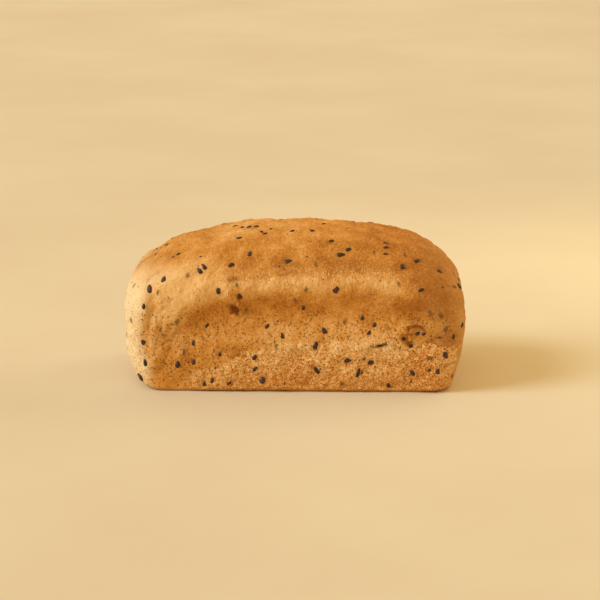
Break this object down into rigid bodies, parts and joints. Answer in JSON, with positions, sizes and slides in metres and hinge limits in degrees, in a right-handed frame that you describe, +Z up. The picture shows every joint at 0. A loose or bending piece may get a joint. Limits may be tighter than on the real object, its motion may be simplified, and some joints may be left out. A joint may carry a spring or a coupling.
{
  "type": "buckwheat bread",
  "caption": "Small tin loaf of buckwheat bread with an uneven crown, a lip over pulled-in long sides, torn crumb low on them and dark seeds fused in its crust.",
  "frame": {"origin": "middle of the loaf's box at the height of its flat underside", "axes": "+X along the loaf, +Z up, the side with the torn hollow faces -Y"},
  "size_m": [0.2012, 0.1, 0.0923],
  "materials": {
    "crust": null
  },
  "bodies": {
    "root": {"loaf": "crust"}
  },
  "joints": []
}
